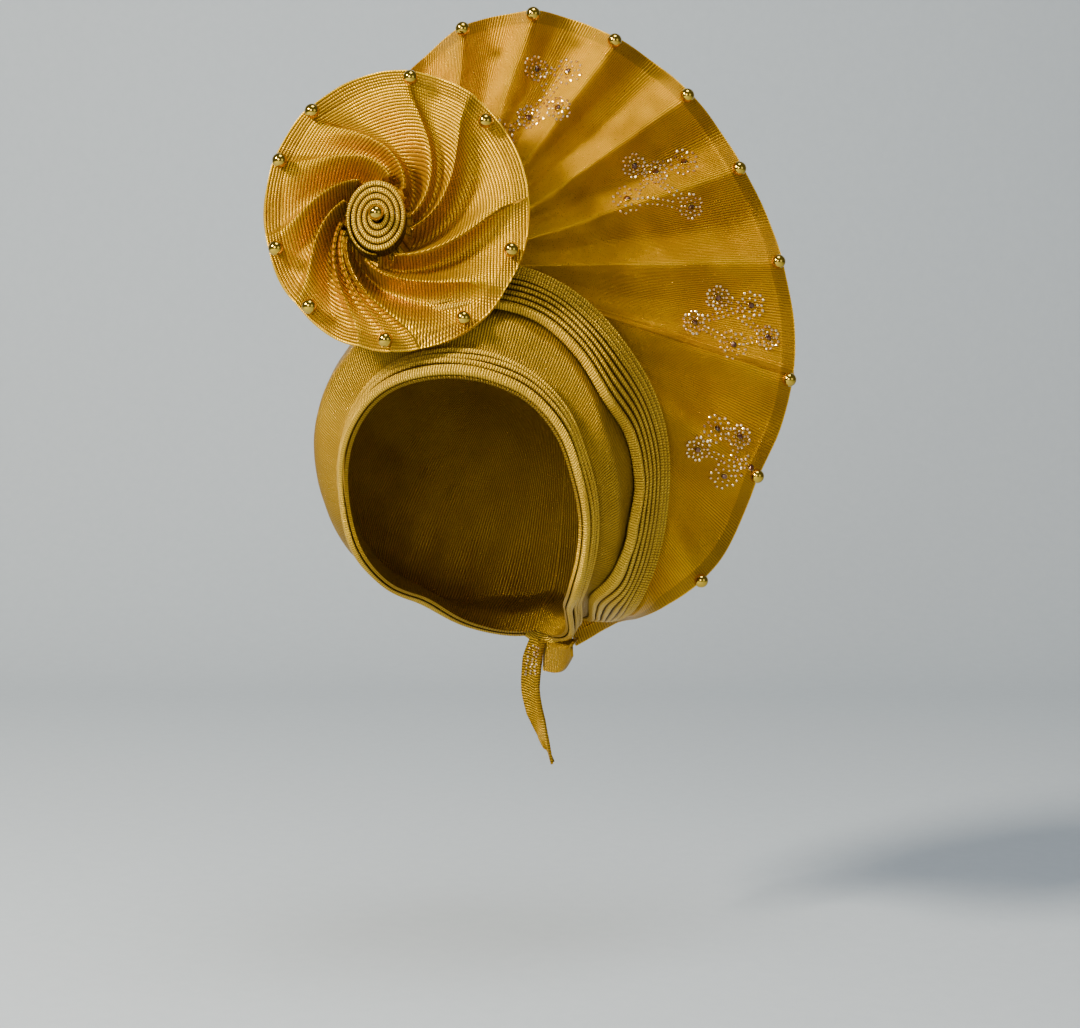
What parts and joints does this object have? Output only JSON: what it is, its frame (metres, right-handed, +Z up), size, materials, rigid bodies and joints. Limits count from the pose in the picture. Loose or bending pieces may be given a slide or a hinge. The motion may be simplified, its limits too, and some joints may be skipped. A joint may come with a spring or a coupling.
{
  "type": "tied gele head tie",
  "caption": "Ready-tied gele head wrap in golden ribbed cloth: a hollow crown wrap framed by pleats, with a pleated fan, a swirled rosette, beads and stones.",
  "frame": {"origin": "centre of the head inside the wrap, at brow level", "axes": "+Z up towards the crown, -Y the way the wearer faces, +X the wearer's left"},
  "size_m": [0.2671, 0.2272, 0.4595],
  "materials": {
    "golden_ribbed_cloth": "ribbed satin",
    "folded_ribbed_cloth": "ribbed satin, folded",
    "gold_bead": "polished gold",
    "topaz_stone": "faceted, glossy"
  },
  "bodies": {
    "root": {"crown_wrap": "golden_ribbed_cloth", "brow_pleat_1": "folded_ribbed_cloth", "brow_pleat_2": "folded_ribbed_cloth", "brow_pleat_3": "folded_ribbed_cloth", "brow_pleat_4": "folded_ribbed_cloth", "side_pleat_1": "folded_ribbed_cloth", "side_pleat_2": "folded_ribbed_cloth", "side_pleat_3": "folded_ribbed_cloth", "side_pleat_4": "folded_ribbed_cloth", "side_pleat_5": "folded_ribbed_cloth", "side_pleat_6": "folded_ribbed_cloth", "side_pleat_7": "folded_ribbed_cloth", "side_pleat_8": "folded_ribbed_cloth", "fan": "golden_ribbed_cloth", "rosette": "golden_ribbed_cloth", "rosette_coil": "folded_ribbed_cloth", "rosette_stalk": "folded_ribbed_cloth", "nape_knot": "folded_ribbed_cloth", "nape_flap": "golden_ribbed_cloth", "tie_strap": "golden_ribbed_cloth", "fan_bead_1": "gold_bead", "fan_bead_2": "gold_bead", "fan_bead_3": "gold_bead", "fan_bead_4": "gold_bead", "fan_bead_5": "gold_bead", "fan_bead_6": "gold_bead", "fan_bead_7": "gold_bead", "fan_bead_8": "gold_bead", "fan_bead_9": "gold_bead", "rosette_bead_1": "gold_bead", "rosette_bead_2": "gold_bead", "rosette_bead_3": "gold_bead", "rosette_bead_4": "gold_bead", "rosette_bead_5": "gold_bead", "rosette_bead_6": "gold_bead", "rosette_bead_7": "gold_bead", "rosette_bead_8": "gold_bead", "rosette_bead_9": "gold_bead", "rosette_bead_10": "gold_bead", "stone_1_1": "topaz_stone", "stone_1_2": "topaz_stone", "stone_1_3": "topaz_stone", "stone_1_4": "topaz_stone", "stone_1_5": "topaz_stone", "stone_2_1": "topaz_stone", "stone_2_2": "topaz_stone", "stone_2_3": "topaz_stone", "stone_2_4": "topaz_stone", "stone_2_5": "topaz_stone", "stone_3_1": "topaz_stone", "stone_3_2": "topaz_stone", "stone_3_3": "topaz_stone", "stone_3_4": "topaz_stone", "stone_3_5": "topaz_stone", "stone_4_1": "topaz_stone", "stone_4_2": "topaz_stone", "stone_4_3": "topaz_stone", "stone_4_4": "topaz_stone", "stone_4_5": "topaz_stone"}
  },
  "joints": []
}
